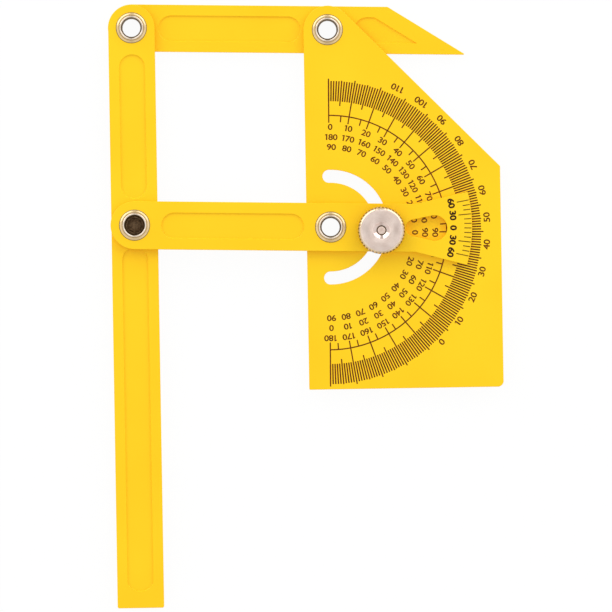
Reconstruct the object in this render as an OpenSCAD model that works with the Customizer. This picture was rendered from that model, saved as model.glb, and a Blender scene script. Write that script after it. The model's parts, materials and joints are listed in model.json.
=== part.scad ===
// Angle finder with arms.
// A protractor plate and three arms turn on four hollow rivets as a parallelogram, and a knurled
// nut clamps the indicator arm in an arc slot of the plate.
// Millimetres. The centre pivot's axis is Z and the back of the plate is at z = 0. The plate's
// upper pivot lies at +Y, the fan of the indicator arm at +X, and +Z faces the reader.

/* [Linkage] */
// Distance between the pivots of the top arm, and the same of the indicator arm
arm_link = 84.8; // [75:0.1:105]
// Distance between the pivots of the plate, and the same of the long arm
plate_link = 85.4; // [75:0.1:105]
// Angle by which the indicator arm and the top arm are swung out of square, towards +Y
swing = -1.5; // [-75:0.1:75]
// Thickness of the plate and of each arm
sheet_t = 3; // [2.5:0.1:4]
// Running gap between neighbouring layers
layer_gap = 0.1; // [0.05:0.05:0.3]

/* [Long arm] */
// Width of the long arm
long_w = 20.1; // [18:0.1:24]
// From the corner pivot down to the square end
long_reach = 251; // [200:0.5:300]
// Radius of the two corners at the square end
long_corner_r = 0.8; // [0.4:0.1:3]

/* [Top arm] */
// Width of the top arm
top_w = 20.4; // [18:0.1:24]
// From the plate's upper pivot to where the upper edge stops and the slanted edge begins
shoulder_reach = 25.9; // [22:0.1:34]
// From the plate's upper pivot to the point of the slanted end, before its rounding
tip_reach = 60; // [55:0.5:75]
// Radius of the rounded point
tip_r = 0.3; // [0.1:0.1:1]
// Radius of the corner where the slanted edge begins
shoulder_r = 1; // [0.4:0.1:3]

/* [Sunk panels] */
// Width of the shallow sunk panel in each arm
panel_w = 11; // [8:0.2:13]
// Depth of the sunk panels
panel_depth = 0.7; // [0.3:0.1:1.2]
// Solid length left between a pivot and the nearest end of a panel
panel_margin = 11.6; // [9:0.1:14]
// The same below the left pivot, where the indicator arm covers the long arm
panel_margin_below = 9.6; // [8.6:0.1:14]
// Solid length left at the long arm's square end
end_margin = 7.3; // [4:0.1:20]
// Radius of the flatter arc that closes the long arm's lower panel
end_arc_r = 6.2; // [6:0.1:12]
// Solid width left along the slanted edge of the top arm
tip_wall = 6.9; // [4:0.1:8.5]
// Radius of the panel's corner beside the slanted edge
tip_panel_r = 1.7; // [0.4:0.1:2.5]

/* [Plate] */
// Width of the rounded tab at the upper pivot
tab_w = 20.8; // [18:0.1:24]
// From the centre pivot to the straight right edge
plate_right = 73.7; // [70:0.1:95]
// From the centre pivot to the lower edge
plate_below = 70.2; // [66:0.1:95]
// Direction that the slanted edge faces, counted from +X
slant_facing = 44.5; // [40:0.5:52]
// Radius of the lower right corner
lower_right_r = 2.5; // [0.5:0.1:6]
// Radius of the lower left corner
lower_left_r = 0.6; // [0.3:0.1:4]
// Radius of the corner between the right edge and the slanted edge
slant_corner_r = 1; // [0.5:0.1:6]

/* [Arc slot] */
// From the centre pivot to the middle of the slot
slot_r = 22; // [19:0.1:26]
// Width of the slot
slot_w = 5.6; // [5.2:0.1:7]
// Angle from +X to the centre of each round slot end
slot_half_angle = 91; // [80:1:95]

/* [Indicator arm] */
// Width of the indicator arm
indicator_w = 20.8; // [18:0.1:24]
// From the centre pivot to where the fan's straight sides leave the arm's edges
fan_root = 36.7; // [30:0.1:42]
// From the centre pivot to the fan's curved end
fan_r = 61.2; // [58:0.1:65]
// Angle from the centre line to each corner of the fan, seen from the centre pivot
fan_half_angle = 15; // [13.5:0.1:17]
// Radial length of the bevel that thins the curved end
bevel_len = 6.2; // [3:0.1:7]
// Thickness left at the curved end
bevel_edge_t = 0.8; // [0.5:0.1:1.5]
// From the centre pivot to the window's small round end
window_near = 36; // [36:0.1:39]
// From the centre pivot to the window's large round end
window_far = 44.9; // [43:0.1:46]
// Radius of the window's small round end
window_near_r = 3.6; // [2.5:0.1:3.7]
// Radius of the window's large round end
window_far_r = 5.5; // [4.5:0.1:6.5]

/* [Hollow rivets] */
// Diameter of the clear hole through a rivet
bore_d = 7.7; // [6.5:0.1:8]
// Wall of the barrel
barrel_wall = 0.5; // [0.3:0.05:0.6]
// Diameter of the back flange
flange_d = 13.4; // [12:0.1:14]
// Thickness of the back flange
flange_t = 0.9; // [0.6:0.1:1.5]
// Radius of the half-round lip that is rolled over at the front
lip_r = 0.7; // [0.6:0.05:0.8]
// Diameter of the washer under the rolled lip
lip_washer_d = 13.4; // [12:0.1:14]
// Thickness of the washer under the rolled lip
lip_washer_t = 0.5; // [0.4:0.05:0.8]

/* [Clamp] */
// Angle by which the bolt stands off the indicator arm's centre line, seen from the centre pivot
clamp_turn = -3.2; // [-4:0.1:4]
// Diameter of the bolt's shank
bolt_d = 4; // [3:0.1:4.5]
// Side of the square neck that slides in the slot
neck_w = 4.8; // [4.6:0.1:4.9]
// Diameter of the round bolt head
head_d = 11; // [9.5:0.1:12]
// Height of the round bolt head
head_h = 2.2; // [1.5:0.1:2.7]
// Diameter of the flat on the crown of the bolt head
crown_d = 3; // [1:0.5:5]
// Diameter of the washer under the nut
washer_d = 12; // [10:0.5:16]
// Thickness of the washer under the nut
washer_t = 0.8; // [0.5:0.1:1.2]
// Diameter of the nut over its knurl
nut_d = 20.5; // [18:0.1:23]
// Height of the nut's knurled rim
nut_rim_h = 5; // [4:0.1:8]
// Diameter of the hub under the rim
hub_d = 13; // [10:0.1:16]
// Height of the hub under the rim
hub_h = 1; // [0.5:0.1:3]
// Height of the bevels above and below the knurl
nut_bevel = 0.75; // [0.3:0.05:1.2]
// Number of knurl ridges
knurl_count = 40; // [24:1:72]
// Depth of the knurl grooves
knurl_depth = 0.45; // [0.2:0.05:0.6]
// Diameter of the countersink at the nut's face
sink_d = 7.2; // [6:0.1:10]
// Depth of the countersink
sink_depth = 1.3; // [0.8:0.1:2]
// Distance from the nut's face down to the bolt's end
bolt_recess = 1.1; // [0.3:0.1:2]

/* [Fits] */
// Radial clearance of a barrel or shank in its hole
running = 0.05; // [0.03:0.01:0.1]
// Radial clearance in the long arm at the left pivot, which takes up the linkage's slack
slack = 0.15; // [0.1:0.01:0.3]
// Gap along a pivot between a turning piece and the flange or washer beside it
end_play = 0.05; // [0.03:0.01:0.1]

/* [Hidden] */
$fn = 96;

yellow = "#FFD621";
nickel = "#CFC4BB";
steel = "#B9BBBD";

// How far a cutting shape runs past the face that it cuts
over = 1;
// Share of a radius by which a round and the straight side that touches it are made to cross, so
// that they meet at one clean point
cross = 0.002;
// Radius of the plate's tab, and of the arms' rounded ends
tab_r = tab_w / 2;
long_end_r = long_w / 2;
top_end_r = top_w / 2;
indicator_end_r = indicator_w / 2;
bore_r = bore_d / 2;
barrel_r = bore_r + barrel_wall;
pivot_hole_r = barrel_r + running;
bolt_hole_r = bolt_d / 2 + running;

// The four pivots and the clamp, in the plane of the plate
centre_pivot = [0, 0];
upper_pivot = [0, plate_link];
left_pivot = -arm_link * unit(swing);
corner_pivot = upper_pivot + left_pivot;
clamp_place = slot_r * unit(swing + clamp_turn);

// The three layers, from back to front
top_arm_z = -sheet_t - layer_gap;
plate_z = 0;
indicator_z = sheet_t + layer_gap;
plate_face = plate_z + sheet_t;
indicator_face = indicator_z + sheet_t;

// Angle by which the bevel's cut runs past each straight side of the fan
bevel_past = 5;
// Height of the right end of the plate's slanted edge
tangent_x = (1 - cross) * tab_r * cos(slant_facing);
tangent_y = plate_link + (1 - cross) * tab_r * sin(slant_facing);
slant_end_y = tangent_y - (plate_right - tangent_x) / tan(slant_facing);
// Slope of the top arm's slanted edge
tip_angle = atan(top_w / (tip_reach - shoulder_reach));

// Heights of the clamp's pieces
washer_z = indicator_face;
nut_z = washer_z + washer_t + end_play;
nut_face = nut_z + hub_h + nut_rim_h;
bolt_end = nut_face - bolt_recess;
// The bolt's end is bevelled, and its neck stops short of the indicator arm
bolt_bevel = 0.5;
neck_short = 0.3;

function unit(angle) = [cos(angle), sin(angle)];

// What is cut away to round a corner: facing is the direction that the corner points in, and half
// is half of the angle inside it
module corner_cut(corner, facing, half, r) {
    reach = r + over;
    translate(corner - unit(facing) * r / sin(half))
        difference() {
            polygon([[0, 0], reach * unit(facing - 90 + half), reach / sin(half) * unit(facing),
                reach * unit(facing + 90 - half)]);
            circle(r = (1 + cross) * r);
        }
}

// A strip with round ends between two points on a line along X
module strip(x_from, x_to, width) {
    translate([x_from, -width / 2])
        square([x_to - x_from, width]);
    for (x = [x_from, x_to])
        translate([x, 0])
            circle(d = width);
}

// A sunk panel with round ends, whose tips are at x_from and x_to
module panel_outline(x_from, x_to) {
    strip(x_from + panel_w / 2, x_to - panel_w / 2, panel_w);
}

// Extrudes an outline upwards from z, by one sheet thickness
module sheet(z) {
    translate([0, 0, z])
        linear_extrude(sheet_t)
            children();
}

// Sinks an outline into the face of the layer that starts at z
module sunk(z) {
    translate([0, 0, z + sheet_t - panel_depth])
        linear_extrude(panel_depth + over)
            children();
}

module plate_outline() {
    difference() {
        union() {
            translate(upper_pivot)
                circle(r = tab_r);
            polygon([[-tab_r, -plate_below], [plate_right, -plate_below], [plate_right, slant_end_y],
                [tangent_x, tangent_y], upper_pivot, [-tab_r, plate_link]]);
        }
        corner_cut([plate_right, -plate_below], -45, 45, lower_right_r);
        corner_cut([-tab_r, -plate_below], -135, 45, lower_left_r);
        corner_cut([plate_right, slant_end_y], slant_facing / 2, 90 - slant_facing / 2,
            slant_corner_r);
    }
}

// The arc slot: a ring without the wedge beside it, and a round end on each side
module slot_outline() {
    far = slot_r + slot_w;
    difference() {
        circle(r = slot_r + slot_w / 2);
        circle(r = slot_r - slot_w / 2);
        polygon([[0, 0], far * unit(slot_half_angle), 2 * far * unit(180 - slot_half_angle / 4),
            2 * far * unit(180 + slot_half_angle / 4), far * unit(-slot_half_angle)]);
    }
    for (angle = [-slot_half_angle, slot_half_angle])
        translate(slot_r * unit(angle))
            circle(d = slot_w);
}

module protractor_plate() {
    color(yellow)
        sheet(plate_z)
            difference() {
                plate_outline();
                for (pivot = [centre_pivot, upper_pivot])
                    translate(pivot)
                        circle(r = pivot_hole_r);
                slot_outline();
            }
}

// The top arm's outline, measured from the plate's upper pivot
module top_arm_outline() {
    difference() {
        union() {
            translate([-arm_link, 0])
                circle(r = top_end_r);
            polygon([[-arm_link, -top_end_r], [tip_reach, -top_end_r], [shoulder_reach, top_end_r],
                [-arm_link, top_end_r]]);
        }
        corner_cut([shoulder_reach, top_end_r], 90 - tip_angle / 2, 90 - tip_angle / 2, shoulder_r);
        corner_cut([tip_reach, -top_end_r], -tip_angle / 2, tip_angle / 2, tip_r);
    }
}

// The panel in the top arm's pointed end: a round-ended panel cut off along the slanted edge
module tip_panel_outline() {
    // The cut line runs along the slanted edge, tip_wall inside it
    facing = 90 - tip_angle;
    inset = [shoulder_reach, top_end_r] - tip_wall * unit(facing);
    corner_x = inset[0] + (inset[1] - panel_w / 2) / tan(tip_angle);
    difference() {
        panel_outline(panel_margin, 2 * tip_reach);
        translate([corner_x, panel_w / 2])
            rotate(facing)
                translate([0, -2 * tip_reach])
                    square([2 * tip_reach, 4 * tip_reach]);
        corner_cut([corner_x, panel_w / 2], 90 - tip_angle / 2, 90 - tip_angle / 2, tip_panel_r);
    }
}

module top_arm() {
    color(yellow)
        translate(upper_pivot)
            rotate(swing)
                difference() {
                    sheet(top_arm_z)
                        difference() {
                            top_arm_outline();
                            for (x = [-arm_link, 0])
                                translate([x, 0])
                                    circle(r = pivot_hole_r);
                        }
                    sunk(top_arm_z)
                        panel_outline(panel_margin - arm_link, -panel_margin);
                    sunk(top_arm_z)
                        tip_panel_outline();
                }
}

// The long arm's outline, measured from the corner pivot along the arm
module long_arm_outline() {
    difference() {
        union() {
            circle(r = long_end_r);
            translate([0, -long_end_r])
                square([long_reach, long_w]);
        }
        for (side = [-1, 1])
            corner_cut([long_reach, side * long_end_r], side * 45, 45, long_corner_r);
    }
}

// The long arm's lower panel: its lower end is a flatter arc
module lower_panel_outline() {
    x_end = long_reach - end_margin;
    intersection() {
        union() {
            translate([plate_link + panel_margin_below + panel_w / 2, 0])
                circle(d = panel_w);
            translate([plate_link + panel_margin_below + panel_w / 2, -panel_w / 2])
                square([long_reach, panel_w]);
        }
        union() {
            translate([x_end - end_arc_r, 0])
                circle(r = end_arc_r);
            translate([0, -panel_w])
                square([x_end - end_arc_r, 2 * panel_w]);
        }
    }
}

module long_arm() {
    color(yellow)
        translate(corner_pivot)
            rotate(-90)
                difference() {
                    sheet(plate_z)
                        difference() {
                            long_arm_outline();
                            circle(r = pivot_hole_r);
                            translate([plate_link, 0])
                                circle(r = barrel_r + slack);
                        }
                    sunk(plate_z)
                        panel_outline(panel_margin, plate_link - panel_margin);
                    sunk(plate_z)
                        lower_panel_outline();
                }
}

// The arm from the centre pivot on, and the fan: each straight side runs from the arm's edge at
// fan_root to a corner of the curved end, and on past it to where the circle cuts it off
module fan_outline() {
    root = [fan_root, indicator_end_r];
    past = 2 * fan_r * unit(fan_half_angle) - root;
    intersection() {
        circle(r = fan_r);
        polygon([[0, -root[1]], [root[0], -root[1]], [past[0], -past[1]], past, root, [0, root[1]]]);
    }
}

// The window: two circles and the straight sides that touch both
module window_outline() {
    lean = asin((window_far_r - window_near_r) / (window_far - window_near));
    near = (1 - cross) * window_near_r * unit(90 + lean);
    far = (1 - cross) * window_far_r * unit(90 + lean);
    translate([window_near, 0])
        circle(r = window_near_r);
    translate([window_far, 0])
        circle(r = window_far_r);
    polygon([[window_near + near[0], near[1]], [window_far + far[0], far[1]],
        [window_far + far[0], -far[1]], [window_near + near[0], -near[1]]]);
}

// What is cut away to bevel the fan's curved end down to bevel_edge_t
module fan_bevel() {
    start_r = fan_r - bevel_len;
    drop = (sheet_t - bevel_edge_t) / bevel_len;
    sweep = fan_half_angle + bevel_past;
    rotate(-sweep)
        rotate_extrude(angle = 2 * sweep)
            polygon([[start_r, indicator_face], [fan_r + over, indicator_face - drop * (bevel_len + over)],
                [fan_r + over, indicator_face + over], [start_r, indicator_face + over]]);
}

module indicator_arm() {
    color(yellow)
        rotate(swing)
            difference() {
                sheet(indicator_z)
                    difference() {
                        union() {
                            translate([-arm_link, 0])
                                circle(r = indicator_end_r);
                            translate([-arm_link, -indicator_end_r])
                                square([arm_link + over, indicator_w]);
                            fan_outline();
                        }
                        for (x = [-arm_link, 0])
                            translate([x, 0])
                                circle(r = pivot_hole_r);
                        translate(slot_r * unit(clamp_turn))
                            circle(r = bolt_hole_r);
                        window_outline();
                    }
                sunk(indicator_z)
                    panel_outline(panel_margin - arm_link, -panel_margin);
                fan_bevel();
            }
}

// Half of a hollow rivet's section: barrel, back flange below z_back, and a lip rolled over the
// washer that lies on z_front
module rivet_section(z_back, z_front) {
    lip_z = z_front + lip_washer_t;
    flange_z = z_back - flange_t;
    translate([bore_r, flange_z])
        square([barrel_wall, lip_z - flange_z]);
    translate([bore_r, flange_z])
        square([flange_d / 2 - flange_t / 2 - bore_r, flange_t]);
    translate([flange_d / 2 - flange_t / 2, z_back - flange_t / 2])
        circle(d = flange_t);
    translate([bore_r + lip_r, lip_z])
        intersection() {
            circle(r = lip_r);
            translate([-lip_r, 0])
                square([2 * lip_r, lip_r]);
        }
}

module hollow_rivet(pivot, z_back, z_front) {
    color(nickel)
        translate(pivot)
            rotate_extrude()
                rivet_section(z_back, z_front);
}

// The washer under a rolled lip, with its outer edge rounded down to the face
module lip_washer(pivot, z) {
    hole_r = barrel_r + running;
    flat_r = lip_washer_d / 2 - lip_washer_t;
    color(nickel)
        translate(pivot)
            rotate_extrude() {
                translate([hole_r, z])
                    square([flat_r - hole_r, lip_washer_t]);
                translate([flat_r, z])
                    intersection() {
                        circle(r = lip_washer_t);
                        square(lip_washer_t);
                    }
            }
}

// Corner pivot: clinched on the long arm, and the top arm turns on it
module corner_eyelet() {
    hollow_rivet(corner_pivot, top_arm_z - end_play, plate_face);
}

module corner_washer() {
    lip_washer(corner_pivot, plate_face);
}

// Upper pivot: clinched on the plate, and the top arm turns on it
module upper_eyelet() {
    hollow_rivet(upper_pivot, top_arm_z - end_play, plate_face);
}

module upper_washer() {
    lip_washer(upper_pivot, plate_face);
}

// Centre pivot: seated on the plate's back, and the indicator arm turns on it
module centre_eyelet() {
    hollow_rivet(centre_pivot, plate_z, indicator_face + end_play);
}

module centre_washer() {
    lip_washer(centre_pivot, indicator_face + end_play);
}

// Left pivot: the same rivet with a closed back, clinched on the indicator arm
module blind_rivet() {
    z_back = plate_z - end_play;
    hollow_rivet(left_pivot, z_back, indicator_face);
    color(nickel)
        translate([left_pivot[0], left_pivot[1], z_back - flange_t])
            cylinder(r = bore_r + barrel_wall / 2, h = flange_t);
}

module rivet_washer() {
    lip_washer(left_pivot, indicator_face);
}

// The clamp bolt: a low domed head behind the plate, a square neck in the slot, and a plain shank
module clamp_bolt() {
    head_top = plate_z - layer_gap;
    // The dome is part of a sphere that passes through the head's rim and the crown's rim
    rise = (pow(head_d / 2, 2) - pow(crown_d / 2, 2) - pow(head_h, 2)) / (2 * head_h);
    dome_r = sqrt(pow(head_d / 2, 2) + pow(rise, 2));
    neck_top = plate_face - neck_short;
    color(steel)
        translate(clamp_place) {
            intersection() {
                translate([0, 0, head_top + rise])
                    sphere(r = dome_r);
                translate([0, 0, head_top - head_h])
                    cylinder(d = head_d + over, h = head_h);
            }
            rotate(swing + clamp_turn)
                translate([-neck_w / 2, -neck_w / 2, head_top - over])
                    cube([neck_w, neck_w, neck_top - head_top + over]);
            translate([0, 0, plate_z])
                cylinder(d = bolt_d, h = bolt_end - bolt_bevel - plate_z);
            translate([0, 0, bolt_end - bolt_bevel])
                cylinder(d1 = bolt_d, d2 = bolt_d - 2 * bolt_bevel, h = bolt_bevel);
        }
}

module nut_washer() {
    color(steel)
        translate([clamp_place[0], clamp_place[1], washer_z])
            linear_extrude(washer_t)
                difference() {
                    circle(d = washer_d);
                    circle(r = bolt_hole_r);
                }
}

// The knurled rim's outline: one ridge and one groove for each count
module knurl_outline() {
    step = 180 / knurl_count;
    polygon([for (i = [0 : 2 * knurl_count - 1])
        (nut_d / 2 - (i % 2) * knurl_depth) * unit(i * step)]);
}

module thumb_nut() {
    rim_z = nut_z + hub_h;
    bevel_r = nut_d / 2 - nut_bevel;
    // The bevels run on at 45 degrees until just past the ridges
    past_r = (1 + cross) * nut_d / 2;
    past_h = past_r - bevel_r;
    color(nickel)
        translate(clamp_place)
            difference() {
                union() {
                    translate([0, 0, nut_z])
                        cylinder(d = hub_d, h = hub_h + over);
                    intersection() {
                        translate([0, 0, rim_z])
                            linear_extrude(nut_rim_h)
                                knurl_outline();
                        rotate_extrude()
                            polygon([[0, rim_z], [bevel_r, rim_z], [past_r, rim_z + past_h],
                                [past_r, nut_face - past_h], [bevel_r, nut_face], [0, nut_face]]);
                    }
                }
                translate([0, 0, nut_z - over])
                    cylinder(r = bolt_hole_r, h = nut_face - nut_z + 2 * over);
                translate([0, 0, nut_face - sink_depth])
                    cylinder(r1 = bolt_hole_r, r2 = sink_d / 2, h = sink_depth);
                translate([0, 0, nut_face])
                    cylinder(d = sink_d, h = over);
            }
}

protractor_plate();
top_arm();
long_arm();
indicator_arm();
corner_eyelet();
corner_washer();
upper_eyelet();
upper_washer();
centre_eyelet();
centre_washer();
blind_rivet();
rivet_washer();
clamp_bolt();
nut_washer();
thumb_nut();
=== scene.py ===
# %% [markdown]
# # Angle finder with arms
# The tool is a yellow protractor plate with three flat arms. Four rivets hold them together as a
# parallelogram, so the angle between the arms is read on the plate's printed scale. This lesson
# dresses the plain solids of the tool one kind of part at a time: first the camera and the light,
# then the moulded sheets, the turned metal and the print.

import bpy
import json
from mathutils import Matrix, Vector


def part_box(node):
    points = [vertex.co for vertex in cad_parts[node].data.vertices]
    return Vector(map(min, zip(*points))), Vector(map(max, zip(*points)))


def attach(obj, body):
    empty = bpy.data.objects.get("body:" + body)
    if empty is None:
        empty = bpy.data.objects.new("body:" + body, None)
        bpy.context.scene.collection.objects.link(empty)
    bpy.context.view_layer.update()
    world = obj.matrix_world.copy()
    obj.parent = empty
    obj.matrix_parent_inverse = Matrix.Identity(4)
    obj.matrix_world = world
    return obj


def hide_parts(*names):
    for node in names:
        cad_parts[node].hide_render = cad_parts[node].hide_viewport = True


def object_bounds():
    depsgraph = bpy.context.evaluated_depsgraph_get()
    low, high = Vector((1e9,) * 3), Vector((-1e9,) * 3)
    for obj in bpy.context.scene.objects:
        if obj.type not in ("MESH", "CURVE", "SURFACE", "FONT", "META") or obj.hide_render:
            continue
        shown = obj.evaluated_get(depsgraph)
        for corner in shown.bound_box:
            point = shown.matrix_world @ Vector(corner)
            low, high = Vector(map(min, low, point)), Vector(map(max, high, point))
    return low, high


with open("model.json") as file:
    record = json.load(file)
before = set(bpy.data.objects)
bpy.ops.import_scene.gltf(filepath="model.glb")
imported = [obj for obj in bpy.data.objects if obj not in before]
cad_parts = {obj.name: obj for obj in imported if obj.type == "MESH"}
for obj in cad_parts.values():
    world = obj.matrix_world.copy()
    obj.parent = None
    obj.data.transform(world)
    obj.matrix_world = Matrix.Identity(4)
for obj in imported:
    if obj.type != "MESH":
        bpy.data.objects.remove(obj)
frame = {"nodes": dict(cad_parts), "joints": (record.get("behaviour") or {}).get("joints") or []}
cad_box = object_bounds()

# %% [markdown]
# ## Places and heights
# Nothing is placed by eye. The pivots come from the joints of the solids, and the heights of the
# faces from the boxes round them. Blender works in metres, and this tool is drawn in millimetres.

# %% Places and heights
import json
import math

import bpy
from mathutils import Matrix, Vector


def mm(value):
    """Millimetres in metres."""
    return value / 1000


def heights(node):
    """The lowest and the highest point of a plain solid, as heights in millimetres."""
    return [corner.z * 1000 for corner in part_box(node)]


joint_places = {joint["name"]: Vector(joint.get("pos_m", (0, 0, 0))) for joint in frame["joints"]}
centre_pivot = joint_places["indicator_swing"]
upper_pivot = joint_places["top_arm_swing"]
corner_pivot = joint_places["long_arm_swing"]
left_pivot = centre_pivot + corner_pivot - upper_pivot
clamp_place = joint_places["nut_turn"]
arm_angle = math.atan2(centre_pivot.y - left_pivot.y, centre_pivot.x - left_pivot.x)
clamp_angle = math.atan2(clamp_place.y - centre_pivot.y, clamp_place.x - centre_pivot.x)
floor_height = cad_box[0].z
plate_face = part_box("protractor_plate")[1].z
arm_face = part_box("indicator_arm")[1].z
print(f"arms {math.degrees(arm_angle):.2f} degrees out of square")

# %% [markdown]
# ## Camera
# The tool lies flat and is seen from straight above. A long lens from far off keeps opposite edges
# of the arms parallel, as they are in the photograph. The picture is square, so one length, the
# size of a pixel on the plate's face, sets how far away the camera stands.

# %% Camera
picture_side = 612
pixel = mm(0.4325)
view_centre = Vector((mm(-11.23), mm(-33.94), plate_face))
picture_turn = math.radians(-0.95)
lens = 800
sensor = 36

camera_height = picture_side * pixel * lens / sensor
bpy.ops.object.camera_add(
    location=view_centre + Vector((0, 0, camera_height)), rotation=(0, 0, picture_turn))
camera = bpy.context.object
camera.data.lens = lens
camera.data.sensor_width = sensor
bpy.context.scene.camera = camera
bpy.context.scene.view_settings.view_transform = "Standard"
print(f"camera {camera_height:.2f} m above the plate")

# %% [markdown]
# ## Nodes and colours
# Every material here is a small tree of nodes. One function adds a node with its settings and its
# links, and another turns the hex colours that painters use into the linear numbers that the
# renderer wants.

# %% Nodes and colours
def colour(code):
    """An sRGB hex colour as linear red, green, blue and alpha."""
    parts = [int(code[i:i + 2], 16) / 255 for i in (1, 3, 5)]
    return [c / 12.92 if c <= 0.04045 else ((c + 0.055) / 1.055) ** 2.4 for c in parts] + [1]


def add_node(tree, kind, links=None, values=None, **settings):
    """Adds a node. Links and values are given by the names or numbers of its input sockets."""
    made = tree.nodes.new(kind)
    for name, value in settings.items():
        setattr(made, name, value)
    for socket, value in (values or {}).items():
        made.inputs[socket].default_value = value
    for socket, source in (links or {}).items():
        tree.links.new(source, made.inputs[socket])
    return made


def empty_tree(owner):
    """Turns nodes on and clears the tree of a material or the world."""
    owner.use_nodes = True
    owner.node_tree.nodes.clear()
    return owner.node_tree


print("yellow in linear light:", [round(c, 3) for c in colour("#FFD621")[:3]])

# %% [markdown]
# ## Light
# A product photograph on white is lit by a white tent with lamps outside it. The tent is the
# world: bright overhead and greyer towards the table, which gives rounded metal its darker lines.
# A slit for the camera runs over its top from back to front, so what faces the camera squarely
# looks a little darker. Two softboxes stand beyond the top of the picture, left and right, with a
# narrow gap between them. They show as two bright patches in the nut and on each washer, and
# together they throw the soft shadow below each arm.

# %% Light tent
# A brightness of 1 is white. The shoulder is how high up the tent gets to full brightness, and the
# slit's edge and fade are how far to the side it starts and ends to lighten, all of 1 for the sky.
tent_top = 1.09
tent_foot = 0.66
tent_shoulder = 0.5
slit_shade = 0.78
slit_sides = 1.09
slit_edge = 0.02
slit_fade = 0.4

world = bpy.data.worlds.new("light_tent")
bpy.context.scene.world = world
tree = empty_tree(world)
place = add_node(tree, "ShaderNodeTexCoord")
parts = add_node(tree, "ShaderNodeSeparateXYZ", links={0: place.outputs["Generated"]})
tent = add_node(tree, "ShaderNodeMapRange", links={"Value": parts.outputs["Z"]},
    values={"From Min": 0.0, "From Max": tent_shoulder, "To Min": tent_foot, "To Max": tent_top},
    interpolation_type="SMOOTHSTEP")
sideways = add_node(tree, "ShaderNodeMath", operation="ABSOLUTE", links={0: parts.outputs["X"]})
slit = add_node(tree, "ShaderNodeMapRange", links={"Value": sideways.outputs[0]},
    values={"From Min": slit_edge, "From Max": slit_fade, "To Min": slit_shade,
        "To Max": slit_sides})
strength = add_node(tree, "ShaderNodeMath", operation="MULTIPLY",
    links={0: tent.outputs["Result"], 1: slit.outputs["Result"]})
glow = add_node(tree, "ShaderNodeBackground", links={"Strength": strength.outputs[0]})
add_node(tree, "ShaderNodeOutputWorld", links={"Surface": glow.outputs["Background"]})
print(f"tent {tent_foot} at its foot and {tent_top} overhead")

# %% Softboxes
box_elevation = 26
box_away = 2.7
box_width = 2.7
box_height = 2.0
box_brightness = 1.4


def softbox(name, azimuth):
    """A rectangular lamp that faces the tool. A brightness of 1 would look white."""
    turn, rise = math.radians(azimuth), math.radians(box_elevation)
    towards = Vector((math.cos(turn) * math.cos(rise), math.sin(turn) * math.cos(rise),
        math.sin(rise)))
    bpy.ops.object.light_add(type="AREA", location=centre_pivot + box_away * towards)
    lamp = bpy.context.object
    lamp.name = name
    lamp.rotation_euler = towards.to_track_quat("Z", "Y").to_euler()
    lamp.data.shape = "RECTANGLE"
    lamp.data.size = box_width
    lamp.data.size_y = box_height
    lamp.data.energy = box_brightness * math.pi * box_width * box_height


softbox("softbox_left", azimuth=131)
softbox("softbox_right", azimuth=49)

# %% [markdown]
# ## Floor
# The table is white paper. In the photograph it is white right up to the tool, so most of what the
# camera and the metal see of it is plain white, and the rest is real paper, which keeps a faint
# shadow under the edges.

# %% Floor
floor_side = 6.0
paper_share = 0.05

bpy.ops.object.select_all(action="DESELECT")
bpy.ops.mesh.primitive_plane_add(size=floor_side, location=(0, 0, floor_height))
floor = bpy.context.object
floor.name = "floor"

paper = bpy.data.materials.new("white_paper")
tree = empty_tree(paper)
rays = add_node(tree, "ShaderNodeLightPath")
seen = add_node(tree, "ShaderNodeMath", operation="MAXIMUM",
    links={0: rays.outputs["Is Camera Ray"], 1: rays.outputs["Is Glossy Ray"]})
seen = add_node(tree, "ShaderNodeMath", operation="MAXIMUM",
    links={0: seen.outputs[0], 1: rays.outputs["Is Transmission Ray"]})
white_share = add_node(tree, "ShaderNodeMath", operation="MULTIPLY",
    links={0: seen.outputs[0]}, values={1: 1 - paper_share})
sheet = add_node(tree, "ShaderNodeBsdfDiffuse", values={"Color": colour("#FFFFFF")})
white = add_node(tree, "ShaderNodeEmission", values={"Color": (1, 1, 1, 1), "Strength": 1.0})
mixed = add_node(tree, "ShaderNodeMixShader",
    links={"Fac": white_share.outputs[0], 1: sheet.outputs[0], 2: white.outputs[0]})
add_node(tree, "ShaderNodeOutputMaterial", links={"Surface": mixed.outputs[0]})
floor.data.materials.append(paper)
print(f"floor at {floor_height * 1000:.2f} mm")

# %% [markdown]
# ## Moulded plastic
# The plate and the arms are injection moulded ABS, coloured right through. It has a satin sheen
# from the mould's spark-eroded skin, whose grain is about 0.2 mm across. That is too fine to show
# here, so it is drawn three times as coarse and only hints at itself in the sheen. The colour
# drifts a little where the plastic flowed and cooled unevenly, over a few centimetres.

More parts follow.
